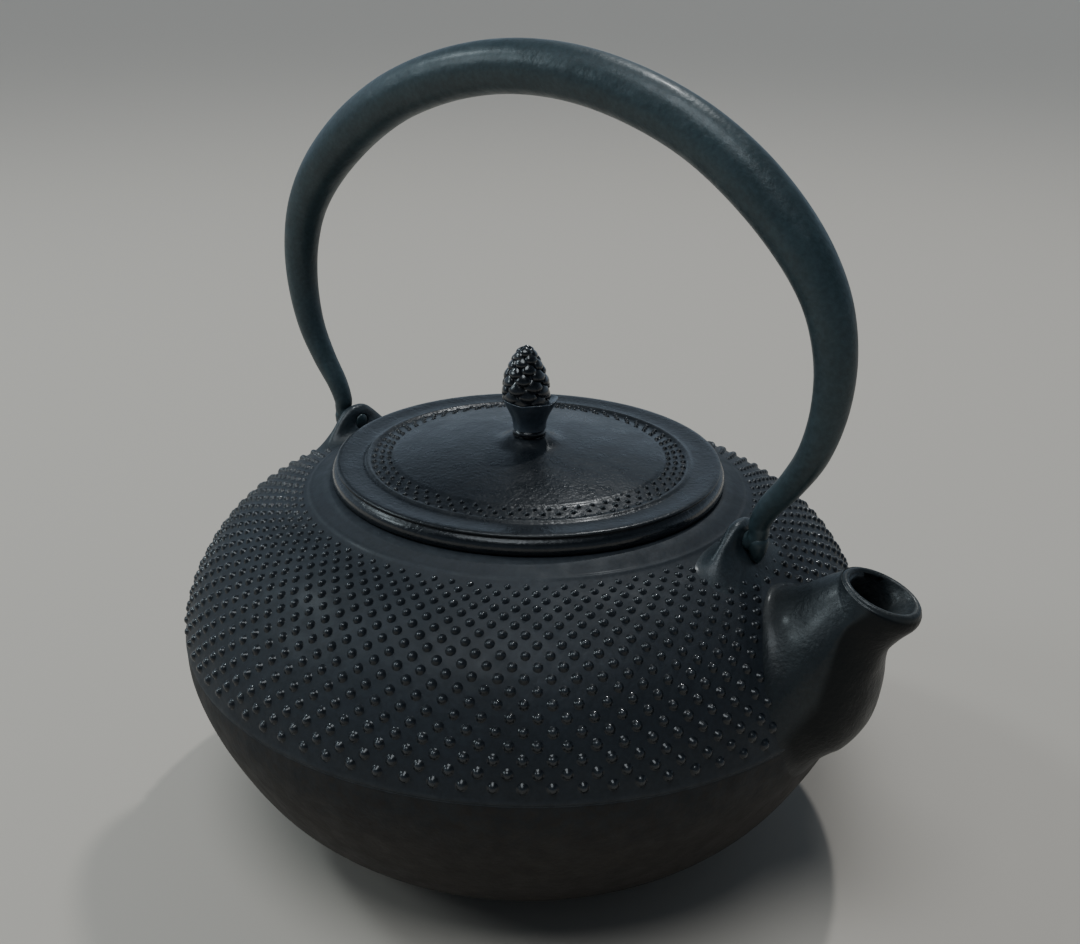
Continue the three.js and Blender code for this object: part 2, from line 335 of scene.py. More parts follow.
KNOB_IRON = iron(
    "knob_iron", (0.005, 0.0065, 0.0092), (0.0105, 0.0132, 0.017), 0.24, grain=0.8, uneven=0.4, clear=0.7
)
# Far lighter than the cone's iron: painted light that brightens the cup's front.
CUP_IRON_PAINTED_LIGHT = iron(
    "cup_iron_painted_light", (0.042, 0.055, 0.072), (0.07, 0.092, 0.118), 0.3, grain=0.8, uneven=0.4, clear=0.5
)
# A lighter copy of the body's iron: painted light that brightens the ears' faces.
EAR_IRON_PAINTED_LIGHT = iron("ear_iron_painted_light", (0.013, 0.0195, 0.0243), (0.0245, 0.0365, 0.0445), 0.42, grain=2.2, clear=0.1)
STEEL = iron("rivet_steel", (0.03, 0.028, 0.026), (0.07, 0.06, 0.05), 0.5, metal=0.8)


# ---- vessel ----
OUTER = catmull(OUTLINE, 8)
NORMALS = outward(OUTER)
ARC = length_along(OUTER)
SKIN = OUTER - NORMALS * DOT_HEIGHT  # the surface that the dots stand on


def inside_by(arc, depth):
    """The point that deep inside the smooth outline at that arc length: radius and z."""
    r = np.interp(arc, ARC, OUTER[:, 0]) - depth * np.interp(arc, ARC, NORMALS[:, 0])
    z = np.interp(arc, ARC, OUTER[:, 1]) - depth * np.interp(arc, ARC, NORMALS[:, 1])
    return r, z


def skin_at(arc):
    """The dotted surface at that arc length: radius, z and the outward normal in the (radius, z) plane."""
    r = np.interp(arc, ARC, SKIN[:, 0])
    z = np.interp(arc, ARC, SKIN[:, 1])
    n = np.array([np.interp(arc, ARC, NORMALS[:, 0]), np.interp(arc, ARC, NORMALS[:, 1])])
    return r, z, n / np.linalg.norm(n)


def above_skin(arc, lift):
    """The point that high above the dotted surface: radius and z."""
    r, z, n = skin_at(arc)
    return r + n[0] * lift, z + n[1] * lift


def upper_arc(radius):
    """Arc length at which the outline above the seam comes in to that radius."""
    upper = ARC > SEAM_ARC
    return float(np.interp(-radius, -OUTER[upper, 0], ARC[upper]))


SEAM_ARC = float(np.interp(SEAM_Z, OUTER[:, 1], ARC))
COLLAR_RADIUS = 59.4
COLLAR_ARC = upper_arc(COLLAR_RADIUS)
BEAD_ARC = 1.4  # the middle of the low bead round the collar, from the collar's start
BEAD_RADIUS = float(np.interp(COLLAR_ARC + BEAD_ARC, ARC, OUTER[:, 0]))
# arc length from the seam, height over the dotted surface
SEAM_STEP = [(-0.05, -0.25), (0.1, 0.0), (0.35, 0.12), (0.9, 0.1), (1.6, 0.03)]
LIP_ROUND = [(55.8, 93.95), (54.8, 94.38), (54, 94.72), (53.3, 95.0), (52.8, 95.15), (52.2, LIP_Z)]
MOUTH_EDGE = [(50, LIP_Z), (46.4, LIP_Z), (MOUTH_RADIUS, 94.8), (MOUTH_RADIUS, 92.4), (46.6, 91.4)]


def bowl_rows():
    """The outside from the middle of the base to the foot of the seam."""
    rows = [(0, 0), (40, 0), (43.5, 0.05), (45, 0.35)]
    for arc in np.linspace(1.5, SEAM_ARC - 1.0, 44):
        rows.append(inside_by(arc, 0.25 + 0.95 * min(1, (arc / SEAM_ARC) ** 2)))
    r, z, _ = skin_at(SEAM_ARC - 0.35)
    rows.append((r - 0.1, z))
    return rows


def upper_rows():
    """The outside from the seam over the shoulder and the collar, and round the lip into the mouth."""
    rows = [above_skin(SEAM_ARC + arc, lift) for arc, lift in SEAM_STEP]
    shoulder = np.linspace(SEAM_ARC + 3, COLLAR_ARC, 50)
    collar = np.linspace(COLLAR_ARC + 0.3, COLLAR_ARC + 2.6, 9)
    for arc in np.concatenate([shoulder, collar]):
        lift = 0.7 * min(1.0, max(0.0, (arc - COLLAR_ARC + 4) / 6.5)) ** 2
        lift += 0.2 * math.exp(-(((arc - COLLAR_ARC - BEAD_ARC) / 0.5) ** 2))
        rows.append(above_skin(arc, lift))
    return rows + LIP_ROUND + MOUTH_EDGE


def inner_rows():
    """The inside from under the mouth down to the middle of the floor."""
    rows = []
    for arc in np.linspace(ARC[-1] - 7, 3, 50):
        r, z = inside_by(arc, WALL)
        if r > 46.8 and z > WALL + 1.2:
            rows.append((r, z))
    return rows + [(45, WALL + 0.1), (30, WALL), (0, WALL)]


def shell_wear_and_painted_reflection(verts, bowl_count):
    """Rubbed spots on the seam, the lip and the bead; on the bowl, the painted reflection of a wooden floor
    fading to blue towards the seam.
    """
    radius = np.hypot(verts[:, 0], verts[:, 1])
    z = verts[:, 2]
    wear_and_painted_light = np.zeros(len(verts))
    wear_and_painted_light[(abs(z - SEAM_Z - 0.3) < 0.7) & (radius > 91)] = 0.25
    # Painted reflection: the bowl's brown fades to blue upwards.
    wear_and_painted_light[:bowl_count] = np.clip((z[:bowl_count] - 36) / 16, 0, 1)
    wear_and_painted_light[(z > 94.4) & (radius > 52)] = 0.35
    wear_and_painted_light[(z > 90) & (abs(radius - BEAD_RADIUS) < 0.45)] = 0.2
    return wear_and_painted_light


def build_shell():
    bowl, upper, inner = bowl_rows(), upper_rows(), inner_rows()
    sides = 240
    verts, faces = lathe(bowl + upper + inner, sides)
    wear_and_painted_light = shell_wear_and_painted_reflection(verts, (len(bowl) - 1) * sides)
    shell = make("kettle_shell", verts, faces, [BODY_IRON, BOWL_IRON, INNER_IRON], values={"wear_and_painted_light": wear_and_painted_light})
    zones = [1] * (len(bowl) - 1) + [0] * len(upper) + [2] * len(inner)
    shell.data.polygons.foreach_set("material_index", np.repeat(zones, sides).tolist())
    return shell


DOTS_ROUND = 88
DOT_ROWS = 19
FIRST_DOT = 4.2
LAST_DOT_RADIUS = 60.4
DOT_PHASE = 0.05
# How dark a dot is painted towards its foot: painted shade in the crease round each dot, on the body and the
# lid.
DOT_PAINTED_SHADE = 0.8
DOT_JITTER = 0.05
DOT_RADIUS = 0.92
DOT_RISE = 0.774


def dot_arcs():
    """Arc length of each row of dots: the rows draw together towards the mouth, as the rings get smaller."""
    arcs = [SEAM_ARC + FIRST_DOT]
    for _ in range(DOT_ROWS - 1):
        radius = np.interp(arcs[-1], ARC, OUTER[:, 0])
        arcs.append(arcs[-1] + math.pi * radius / DOTS_ROUND)
    scale = (upper_arc(LAST_DOT_RADIUS) - arcs[0]) / (arcs[-1] - arcs[0])
    return [arcs[0] + (arc - arcs[0]) * scale for arc in arcs]


# A dot's outline: distance from its centre as a share of its radius, and height as a share of its height. The
# last points run out into the surface, as cast dots do.
DOT_OUTLINE = [(0.0, 1.0), (0.3, 0.94), (0.56, 0.76), (0.76, 0.48), (0.92, 0.2), (1.22, -0.08)]


def dots(name, places, material, sides=12):
    """Many small domes in one mesh. places are rows of (centre, normal, along, radius, height)."""
    verts, faces, darkening = [], [], []
    for centre, normal, along, radius, height in places:
        across = np.cross(normal, along)
        start = len(verts)
        verts.append(centre + normal * height)
        darkening.append(0.0)
        for share, rise in DOT_OUTLINE[1:]:
            for k in range(sides):
                angle = TAU * k / sides
                verts.append(
                    centre
                    + along * (radius * share * math.cos(angle))
                    + across * (radius * share * math.sin(angle))
                    + normal * (height * rise)
                )
                # Painted shade: darkest at the foot, none at the top.
                darkening.append(DOT_PAINTED_SHADE * (1 - max(0.0, rise) ** 2))
        for k in range(sides):
            faces.append((start, start + 1 + k, start + 1 + (k + 1) % sides))
        faces += grid_faces(len(DOT_OUTLINE) - 1, sides, start + 1, flip=True)
    return make(name, np.array(verts), faces, material, values={"darkening": darkening})


SPOUT_CLEARANCE = 2.1
ROOT_HALF = [
    # z, half the width of the spout's root
    (44, 17),
    (57, 17),
    (62.6, 18.7),
    (67.8, 19),
    (72, 18.2),
    (75.5, 15.8),
    (78.6, 13.8),
    (82.1, 9.2),
    (85.5, 3),
]


def on_spout(angle, z, r):
    """True where the spout's root takes the dots' place."""
    if math.cos(angle) < 0 or not 44 < z < 86.3:
        return False
    zs, halves = zip(*ROOT_HALF)
    return abs(r * math.sin(angle)) < np.interp(z, zs, halves) + SPOUT_CLEARANCE


def on_ear(x, y, z):
    """True where an ear takes the dots' place."""
    return abs(y) < 15.0 and abs(x) > 56 and z > 89.4


def body_dots():
    """Places of the body's dots, in two halves so that neither mesh is large."""
    places = []
    for row, arc in enumerate(dot_arcs()):
        r, z, n = skin_at(arc)
        size = 1.0 + 0.34 * (r - 62) / 31
        for k in range(DOTS_ROUND):
            salt = row * DOTS_ROUND + k
            jitter = DOT_JITTER * (hash01(salt, 1) - 0.5)
            angle = TAU * (k + 0.5 * (row % 2) + DOT_PHASE + jitter) / DOTS_ROUND
            c, s = math.cos(angle), math.sin(angle)
            if on_spout(angle, z, r) or on_ear(r * c, r * s, z):
                continue
            normal = np.array([n[0] * c, n[0] * s, n[1]])
            along = np.array([-s, c, 0.0])
            radius = DOT_RADIUS * size * (1 + 0.1 * (hash01(salt, 2) - 0.5))
            height = min(DOT_HEIGHT - 0.02, DOT_RISE * size) * (1 - 0.12 * hash01(salt, 3))
            places.append((np.array([r * c, r * s, z]), normal, along, radius, height))
    half = len(places) // 2
    return places[:half], places[half:]


# ---- spout ----
SPOUT_SECTIONS = [
    # (x, z) of the section's upper point, (x, z) of its lower point, half its width
    ((66, 83), (78, 43), 18.2),
    ((75, 83.7), (91, 46), 17.9),
    ((79.5, 86.7), (96.6, 50.2), 17),
    ((83.5, 89.6), (100.4, 56.2), 15.9),
    ((86.8, 92.1), (102.2, 65), 13.8),
    ((89.1, 93.6), (102.6, 72.5), 11.8),
    ((90.5, 94.5), (103.6, 78), 10.2),
    ((91.1, 95), (106.6, 82.6), 9),
    ((91.3, 95.3), (109.8, 86.4), 8.3),
    ((91.4, 95.6), (110.4, 89.8), 7.9),
]
CHANNEL_SECTIONS = [
    # as above, for the inside
    ((78, 76), (82, 60), 9),
    ((88, 80.5), (92.6, 61.5), 8.2),
    ((92, 86.5), (98.6, 68), 7.2),
    ((93.2, 90.6), (99.8, 77), 6.4),
    ((93.5, 93), (100.8, 84.4), 6.1),
    ((93.5, 94.4), (103.6, 88.2), 6.1),
    ((93.4, 95.2), (108, 90.1), 6.3),
    ((93.2, 98), (110, 94), 6.5),
]


def section_rows(sections, per_span, sides, upper, lower, round_from=0.7):
    """Rings of points through the sections. upper and lower hold the exponents across and along the section
    for its two halves, at the start and further out: below 2 along, the section comes to a soft ridge at its
    widest, and over 2 both ways it gets soft corners. Towards the end it turns round."""
    table = catmull([(*t, *b, h) for t, b, h in sections], per_span)
    rings = []
    for row, (tx, tz, bx, bz, half) in enumerate(table):
        share = row / (len(table) - 1)
        ease = min(1.0, max(0.0, (share - round_from) / 0.2))
        further = min(1.0, max(0.0, (share - 0.2) / 0.4))
        middle = np.array([(tx + bx) / 2, (tz + bz) / 2])
        reach = np.array([(tx - bx) / 2, (tz - bz) / 2])
        ring = []
        for k in range(sides):
            angle = TAU * k / sides
            c, s = math.cos(angle), math.sin(angle)
            root, out = upper if c > 0 else lower
            powers = [a + (b - a) * further for a, b in zip(root, out)]
            across, along = (p * (1 - ease) + 2 * ease for p in powers)
            up = superellipse(c, along)
            side = superellipse(s, across)
            ring.append((middle[0] + reach[0] * up, half * side, middle[1] + reach[1] * up))
        rings.append(ring)
    return np.array(rings)


GROUND_POINTS = 900


def ground_line():
    """The vessel's outside as a fine line of (radius, z), with the smooth outline's normals beside it."""
    outside = bowl_rows() + upper_rows()
    line = np.array(outside[3:-5])
    run = length_along(line)
    at = np.linspace(0, run[-1], GROUND_POINTS)
    line = np.stack([np.interp(at, run, line[:, i]) for i in (0, 1)], 1)
    nearest = np.argmin(((line[:, None] - OUTER[None]) ** 2).sum(2), 1)
    return line, NORMALS[nearest]


GROUND = ground_line()


def body_distance(points):
    """Signed distance of points to the vessel's outside, positive outside it. Also its normals there."""
    points = np.atleast_2d(points)
    radius = np.hypot(points[:, 0], points[:, 1])
    flat = np.stack([radius, points[:, 2]], 1)
    dense, normal = GROUND
    gap = flat[:, None, :] - dense[None]
    nearest = np.argmin((gap**2).sum(2), 1)
    picked = normal[nearest]
    distance = (gap[np.arange(len(flat)), nearest] * picked).sum(1)
    safe = np.maximum(radius, 1e-9)
    full = np.stack([picked[:, 0] * points[:, 0] / safe, picked[:, 0] * points[:, 1] / safe, picked[:, 1]], 1)
    return distance, full


def cut_at_vessel(rings):
    """Cuts a loft where it comes out of the vessel. Returns, for each side of the loft, the point of the cut,
    the direction along the vessel's surface away from the loft, and the line of points from there on."""
    count, sides, _ = rings.shape
    distance = body_distance(rings.reshape(-1, 3))[0].reshape(count, sides)
    start, lines = [], []
    for k in range(sides):
        i = int(np.argmax(distance[:, k] > 0))
        a, b = distance[i - 1, k], distance[i, k]
        t = -a / (b - a)
        start.append(rings[i - 1, k] * (1 - t) + rings[i, k] * t)
        lines.append(np.vstack([start[-1], rings[i:, k]]))
    start = np.array(start)
    ahead = np.roll(start, -1, 0) - np.roll(start, 1, 0)
    ahead /= np.linalg.norm(ahead, axis=1, keepdims=True)
    away = np.cross(ahead, body_distance(start)[1])
    away /= np.linalg.norm(away, axis=1, keepdims=True)
    away *= np.sign(((start - start.mean(0)) * away).sum(1).mean())
    return start, away, lines


SPOUT_SIDES = 96
FILLET_REACH = 7
FILLET_REACH_LOST = 3.8  # how much less far the fillet runs out above the spout
FILLET_UP = 8.5
FILLET_ROWS = 14
WALL_ROWS = 56
CHANNEL_ROWS = 24
RIM_ROLL = [
    # share of the way from the outer to the inner rim, height over the rim's plane
    (0.03, -0.85),
    (0.1, -0.45),
    (0.24, -0.12),
    (0.42, 0.04),
    (0.62, 0.06),
    (0.8, -0.08),
    (0.93, -0.38),
    (1.0, -0.8),
]
RIM_WEAR = [0.05, 0.1, 0.25, 0.5, 0.7, 0.6, 0.4, 0.3, 0.3]
# How much lighter the inside of the channel is made: painted light, as if it were lit.
CHANNEL_PAINTED_LIGHT = 0.3


def spout_wall():
    """Rows of points from the fillet's foot on the vessel up the outside of the spout to the rim."""
    rings = section_rows(
        SPOUT_SECTIONS, 8, SPOUT_SIDES, upper=((1.62, 1.62), (1.8, 1.35)), lower=((2.75, 2.15), (2.4, 1.2))
    )
    start, away, lines = cut_at_vessel(rings)
    wall = np.zeros((FILLET_ROWS + WALL_ROWS, SPOUT_SIDES, 3))
    for k, line in enumerate(lines):
        reach = FILLET_REACH - FILLET_REACH_LOST * max(0.0, math.cos(TAU * k / SPOUT_SIDES)) ** 0.8
        foot = start[k] + away[k] * reach
        gap, foot_normal = body_distance(foot)
        foot = foot - foot_normal[0] * (gap[0] + 0.1)
        run = length_along(line)
        up = min(FILLET_UP, run[-1] * 0.4)
        top = np.array([np.interp(up, run, line[:, i]) for i in range(3)])
        for j in range(FILLET_ROWS):
            t = j / FILLET_ROWS
            wall[j, k] = foot * (1 - t) ** 2 + start[k] * 2 * t * (1 - t) + top * t * t
        wall[FILLET_ROWS:, k] = resample(np.vstack([top, line[run > up]]), WALL_ROWS)
    return wall


def spout_inside(outer_rim):
    """Rows of points that roll over the rim and go down the channel into the vessel."""
    round_powers, root_powers = (2, 2), (2.2, 2)
    channel = section_rows(
        CHANNEL_SECTIONS, 8, SPOUT_SIDES, upper=(round_powers, round_powers), lower=(root_powers, root_powers)
    )
    quarter, half = outer_rim[SPOUT_SIDES // 4], outer_rim[SPOUT_SIDES // 2]
    rim_up = np.cross(quarter - outer_rim[0], half - outer_rim[0])
    rim_up *= math.copysign(1, rim_up[2]) / np.linalg.norm(rim_up)
    centre = outer_rim.mean(0)
    inner_rim, columns = [], []
    for k in range(SPOUT_SIDES):
        column = channel[:, k]
        height = (column - centre) @ rim_up
        i = int(np.argmax(height > 0))
        t = -height[i - 1] / (height[i] - height[i - 1])
        crossing = column[i - 1] * (1 - t) + column[i] * t
        inner_rim.append(crossing)
        columns.append(resample(np.vstack([crossing - rim_up * 0.6, column[:i][::-1]]), CHANNEL_ROWS))
    inner_rim = np.array(inner_rim)
    roll = [outer_rim * (1 - share) + inner_rim * share + rim_up * rise for share, rise in RIM_ROLL]
    down = np.swapaxes(columns, 0, 1)[1:]
    return np.concatenate([roll, down])


def spout_marks(rows, rim_row):
    """Wear on the rim, most where it pours; painted light down the channel; painted shade under the spout and
    on its top near the root; a dull foot.
    """
    count, sides, _ = rows.shape
    wear_and_painted_light = np.zeros((count, sides))
    pouring = np.clip((rows[rim_row + 4, :, 0] - 97) / 8, 0.12, 1)
    for j, value in enumerate(RIM_WEAR):
        wear_and_painted_light[rim_row + j] = value * pouring
    # Painted light: the inside of the channel lighter.
    wear_and_painted_light[rim_row + len(RIM_WEAR) :] = CHANNEL_PAINTED_LIGHT
    # Painted shade: the underside darker, with a crisp edge, and the top darker near the root, both weaker at
    # the fillet's foot.
    below = np.array([-math.cos(TAU * k / sides) for k in range(sides)])
    out = np.clip(np.arange(count) / rim_row, 0, 1)[:, None]
    darkening = np.clip((below - 0.38 * (1 - out) + 0.04) * 6, 0, 1)
    darkening = np.maximum(darkening, np.clip((-below - 0.6) * 4, 0, 0.8) * (1 - out))
    darkening[: FILLET_ROWS // 2] *= np.linspace(0.2, 1, FILLET_ROWS // 2)[:, None]
    darkening[rim_row:] = 0
    polish = np.zeros((count, sides))
    polish[:FILLET_ROWS] = -np.linspace(1, 0, FILLET_ROWS)[:, None]
    return {"wear_and_painted_light": wear_and_painted_light.ravel(), "darkening": darkening.ravel(), "polish": polish.ravel()}


def build_spout():
    wall = spout_wall()
    outside = wall[:-2]
    rows = np.concatenate([outside, spout_inside(wall[-1])])
    faces = grid_faces(len(rows), SPOUT_SIDES)
    values = spout_marks(rows, len(outside))
    return make("spout_casting", rows.reshape(-1, 3), faces, SPOUT_IRON, values=values)


# ---- ears ----
EAR_RINGS = [
    # height over the shoulder, share that follows it, half width in Y, half thickness in X, middle x
    (-0.6, 1.0, 17.6, 9.4, 64.6),
    (-0.06, 1.0, 16.2, 8.2, 64.6),
    (0.2, 0.98, 14.9, 7.0, 64.5),
    (0.75, 0.9, 13.5, 5.6, 64.25),
    (1.6, 0.74, 12.1, 4.3, 64),
    (2.6, 0.52, 10.8, 3.3, 63.85),
    (3.7, 0.3, 9.5, 2.65, 63.75),
    (4.9, 0.1, 8.2, 2.3, 63.75),
    (6.1, 0.0, 6.9, 2.15, 63.8),
    (7.2, 0.0, 5.6, 2.0, 63.85),
    (8.1, 0.0, 4.4, 1.75, 63.9),
    (8.75, 0.0, 3.1, 1.2, 63.9),
    (9.1, 0.0, 1.8, 0.6, 63.9),
]
EAR_FOOT_Z = 90.7
EAR_HOLE_X = 64.4
EAR_HOLE_RADIUS = 2.55
DRILL_REACH = 8


def shoulder_z(radius):
    """Height of the surface that the ears and dots stand on, near the mouth."""
    over = SKIN[:, 1] > 70
    return float(np.interp(-radius, -SKIN[over, 0], SKIN[over, 1]))


def build_ear(name, turn):
    """A lug that grows out of the shoulder: rounded sections stacked up, the lowest lying on the surface."""
    sides = 64
    table = catmull(EAR_RINGS, 4)
    rings = []
    for lift, follow, half_y, half_x, middle in table:
        ring = []
        for k in range(sides):
            angle = TAU * k / sides
            x = middle + half_x * superellipse(math.cos(angle), 2.4)
            y = half_y * superellipse(math.sin(angle), 2.3)
            ground = shoulder_z(math.hypot(x, y))
            ring.append((x, y, EAR_FOOT_Z + lift + max(0.0, follow) * (ground - EAR_FOOT_Z)))
        rings.append(ring)
    verts = np.array(rings).reshape(-1, 3)
    faces = grid_faces(len(rings), sides)
    top = len(verts)
    verts = np.vstack([verts, [[63.9, 0, EAR_FOOT_Z + 9.2]], [[64.3, 0, 86.5]]])
    last = (len(rings) - 1) * sides
    for k in range(sides):
        faces.append((last + k, last + (k + 1) % sides, top))
        faces.append(((k + 1) % sides, k, top + 1))
    dull = -np.clip(1 - (verts[:, 2] - EAR_FOOT_Z) / 3, 0, 1)
    ear = make(name, verts, faces, EAR_IRON_PAINTED_LIGHT, values={"polish": dull})
    cut(ear, build_drill())
    if turn:
        ear.data.transform(Matrix.Rotation(math.pi, 4, "Z"))
    return ear


def build_drill():
    """The cylinder that makes the hole in an ear, along X."""
    low, high = -DRILL_REACH, DRILL_REACH
    verts, faces = lathe([(0, low), (EAR_HOLE_RADIUS, low), (EAR_HOLE_RADIUS, high), (0, high)], 32)
    verts = verts[:, [2, 1, 0]] * np.array([1, -1, 1]) + np.array([EAR_HOLE_X, 0, HINGE_Z])
    return make("drill", verts, faces, EAR_IRON_PAINTED_LIGHT)


def cut(obj, tool):
    """Subtracts tool from obj and removes tool."""
    for item in (obj, tool):
        bm = bmesh.new()
        bm.from_mesh(item.data)
        bmesh.ops.recalc_face_normals(bm, faces=bm.faces)
        bm.to_mesh(item.data)
        bm.free()
    modifier = obj.modifiers.new("cut", "BOOLEAN")
    modifier.operation = "DIFFERENCE"
    modifier.solver = "EXACT"
    modifier.object = tool
    bake(obj)
    bpy.data.objects.remove(tool)


def bake(obj):
    """Applies the object's modifiers to its mesh."""
    graph = bpy.context.evaluated_depsgraph_get()
    mesh = bpy.data.meshes.new_from_object(obj.evaluated_get(graph))
    obj.modifiers.clear()
    obj.data = mesh
    mesh.polygons.foreach_set("use_smooth", [True] * len(mesh.polygons))


# ---- handle ----
HANDLE_HALF = [
    # x, z and the bar's radius, from the top of the bow down to the hook
    (0, 199.4, 6.5),
    (16, 198.1, 6.5),
    (32, 194.2, 6.5),
    (47, 188, 6.5),
    (60.5, 179.2, 6.5),
    (72, 168.4, 6.15),
    (79.8, 157, 5.5),
    (83.4, 145, 4.9),
    (83.6, 133, 4.35),
    (81, 121.5, 3.8),
    (76.2, 112.4, 3.3),
    (71.2, 105.4, 2.9),
    (69, 100.6, 2.6),
]
LEG_X = 69
HOOK_BEND = 3
HOOK_RADIUS = 2.4
HOOK_END = [(63.6, HINGE_Z, 2.35), (62.2, HINGE_Z, 2.33), (61.5, HINGE_Z, 2.2), (61.2, HINGE_Z, 1.6)]
HEEL = [
    (0, 89.85),
    (0.4, 89.9),
    (0.9, 90.4),
    (1.5, 91.4),
    (2.0, 92.6),
    (2.35, 94),
    (2.5, 95.6),
    (2.3, 96.8),
    (0, 97.4),
]


def hook():
    """Rows of (x, z, radius) from the leg round the bend and into the ear."""
    rows = []
    for degrees in (0, 30, 60, 90):
        angle = math.radians(degrees)
        x = LEG_X - HOOK_BEND + HOOK_BEND * math.cos(angle)
        z = HINGE_Z + HOOK_BEND - HOOK_BEND * math.sin(angle)
        rows.append((x, z, HOOK_RADIUS))
    return rows + HOOK_END


def build_handle():
    """The bail: a round bar along the whole bow with a hook at each end, and a heel under each leg."""
    half = HANDLE_HALF + hook()
    whole = [(-x, z, r) for x, z, r in half[:0:-1]] + half
    table = catmull(whole, 8)
    sides = 40
    centre = np.stack([table[:, 0], np.zeros(len(table)), table[:, 1]], 1)
    along = np.gradient(centre, axis=0)
    along /= np.linalg.norm(along, axis=1, keepdims=True)
    side = np.array([0.0, 1.0, 0.0])
    rings = []
    for point, direction, radius in zip(centre, along, table[:, 2]):
        out = np.cross(side, direction)
        ring = []
        for k in range(sides):
            angle = TAU * k / sides
            ring.append(point + out * (radius * math.cos(angle)) + side * (radius * math.sin(angle)))
        rings.append(ring)
    verts = np.array(rings).reshape(-1, 3)
    faces = grid_faces(len(rings), sides, flip=True)
    tip = len(verts)
    verts = np.vstack([verts, centre[0] - along[0] * 0.3, centre[-1] + along[-1] * 0.3])
    last = (len(rings) - 1) * sides
    for k in range(sides):
        faces.append((k, (k + 1) % sides, tip))
        faces.append((last + (k + 1) % sides, last + k, tip + 1))
    for heel_x in (LEG_X, -LEG_X):
        heel, heel_faces = lathe(HEEL, 28)
        heel[:, 0] += heel_x
        faces += [tuple(len(verts) + i for i in face) for face in heel_faces]
        verts = np.vstack([verts, heel])
    return make("bail_handle", verts, faces, HANDLE_IRON)


# ---- lid ----
def dome_z(radius):
    return LID_RIM_Z + DOME_RISE * (1 - (radius / LID_BORDER_RADIUS) ** 2)


def lid_surface(radius):
    """Top surface of the lid inside its ring line."""
    return dome_z(radius) - 0.55


LID_SIDES = 200
LID_DARKENING = 0.3
LID_ROLL = [
    # the border's edge, from its lower corner up and over the roll
    (51.3, 95.5),
    (51.62, 95.7),
    (51.85, 96.3),
    (51.9, 97.1),
    (51.75, 97.9),
    (51.4, 98.55),
    (51, 98.95),
    (50.7, 99.15),
    (50.5, 99.3),
    (50.5, 99.48),
    (50.68, 99.7),
    (50.8, 99.95),
    (50.72, 100.2),
    (50.4, 100.38),
    (49.6, 100.42),
]
LID_BORDER = [(48, 100.28), (46.5, 100.15), (44.2, 100.1), (43.4, 100.2)]
LID_BEAD = [(43.0, 100.5), (42.5, 100.66), (42.0, 100.5), (41.6, 100.15)]
LID_BOSS = [
    # radius, height over the dome's edge at the boss
    (9.6, 0.12),
    (8.6, 0.3),
    (7.6, 0.66),
    (6.8, 1.08),
    (6.0, 1.5),
    (5.4, 1.74),
    (4.9, 1.86),
    (4.2, 1.9),
    (2.0, 1.9),
]
LID_SKIRT = [(41.5, 89.2), (41.9, 88.6), (43.6, 88.6), (44.1, 89.0), (44.6, 95.3), (45.2, 95.5), (50.9, 95.5)]


def lid_profile():
    """From the lower edge of the border over the top to the rivet's hole, and back underneath."""
    rows = LID_ROLL + LID_BORDER + LID_BEAD
    for radius in np.linspace(41, 36.3, 9):
        rows.append((radius, lid_surface(radius) - 0.12))
    rows += [(35.9, lid_surface(35.9) + 0.02), (35.5, lid_surface(35.5) + 0.1)]
    for radius in np.linspace(35, 10.5, 20):
        rows.append((radius, lid_surface(radius) + 0.08))
    rows += [(radius, lid_surface(LID_BOSS[0][0]) + rise) for radius, rise in LID_BOSS]
    for radius in (2.0, 8, 14, 20, 26, 32, 38, 41.2):
        rows.append((radius, dome_z(radius) - 3.0))
    rows.append((41.5, dome_z(41.5) - 3.6))
    return rows + LID_SKIRT


def build_lid():
    profile = lid_profile()
    verts, faces = lathe(profile, LID_SIDES)
    last = (len(profile) - 1) * LID_SIDES
    for k in range(LID_SIDES):
        n = (k + 1) % LID_SIDES
        faces.append((last + k, last + n, n, k))
    radius = np.hypot(verts[:, 0], verts[:, 1])
    z = verts[:, 2]
    wear_and_painted_light = np.zeros(len(verts))
    wear_and_painted_light[(abs(radius - 42.5) < 0.6) & (z > 99)] = 0.4
    wear_and_painted_light[(radius > 50.3) & (z > 99.6)] = 0.2
    polish = np.clip(1 - abs(z - 97.6) / 1.3, 0, 1) * (radius > 51.2)
    values = {"wear_and_painted_light": wear_and_painted_light, "polish": polish, "darkening": np.full(len(verts), LID_DARKENING)}
    return make("lid_casting", verts, faces, LID_IRON, values=values)


LID_DOTS_ROUND = 64
LID_DOT_HEIGHT = 0.62
LID_SALT = 5000  # keeps the lid's pattern of small differences apart from the body's


def lid_dots():
    """Places of the three rings of dots inside the lid's bead."""
    places = []
    for row, radius in enumerate((40.9, 38.9, 37.0)):
        for k in range(LID_DOTS_ROUND):
            salt = LID_SALT + row * LID_DOTS_ROUND + k
            angle = TAU * (k + 0.5 * (row % 2) + 0.06 * (hash01(salt, 1) - 0.5)) / LID_DOTS_ROUND
            slope = 2 * DOME_RISE * radius / LID_BORDER_RADIUS**2
            n = np.array([slope, 1.0]) / math.hypot(slope, 1)
            c, s = math.cos(angle), math.sin(angle)
            centre = np.array([radius * c, radius * s, lid_surface(radius) - 0.12])
            normal = np.array([n[0] * c, n[0] * s, n[1]])
            along = np.array([-s, c, 0.0])
            places.append((centre, normal, along, 0.8 - 0.06 * row, LID_DOT_HEIGHT))
    return places


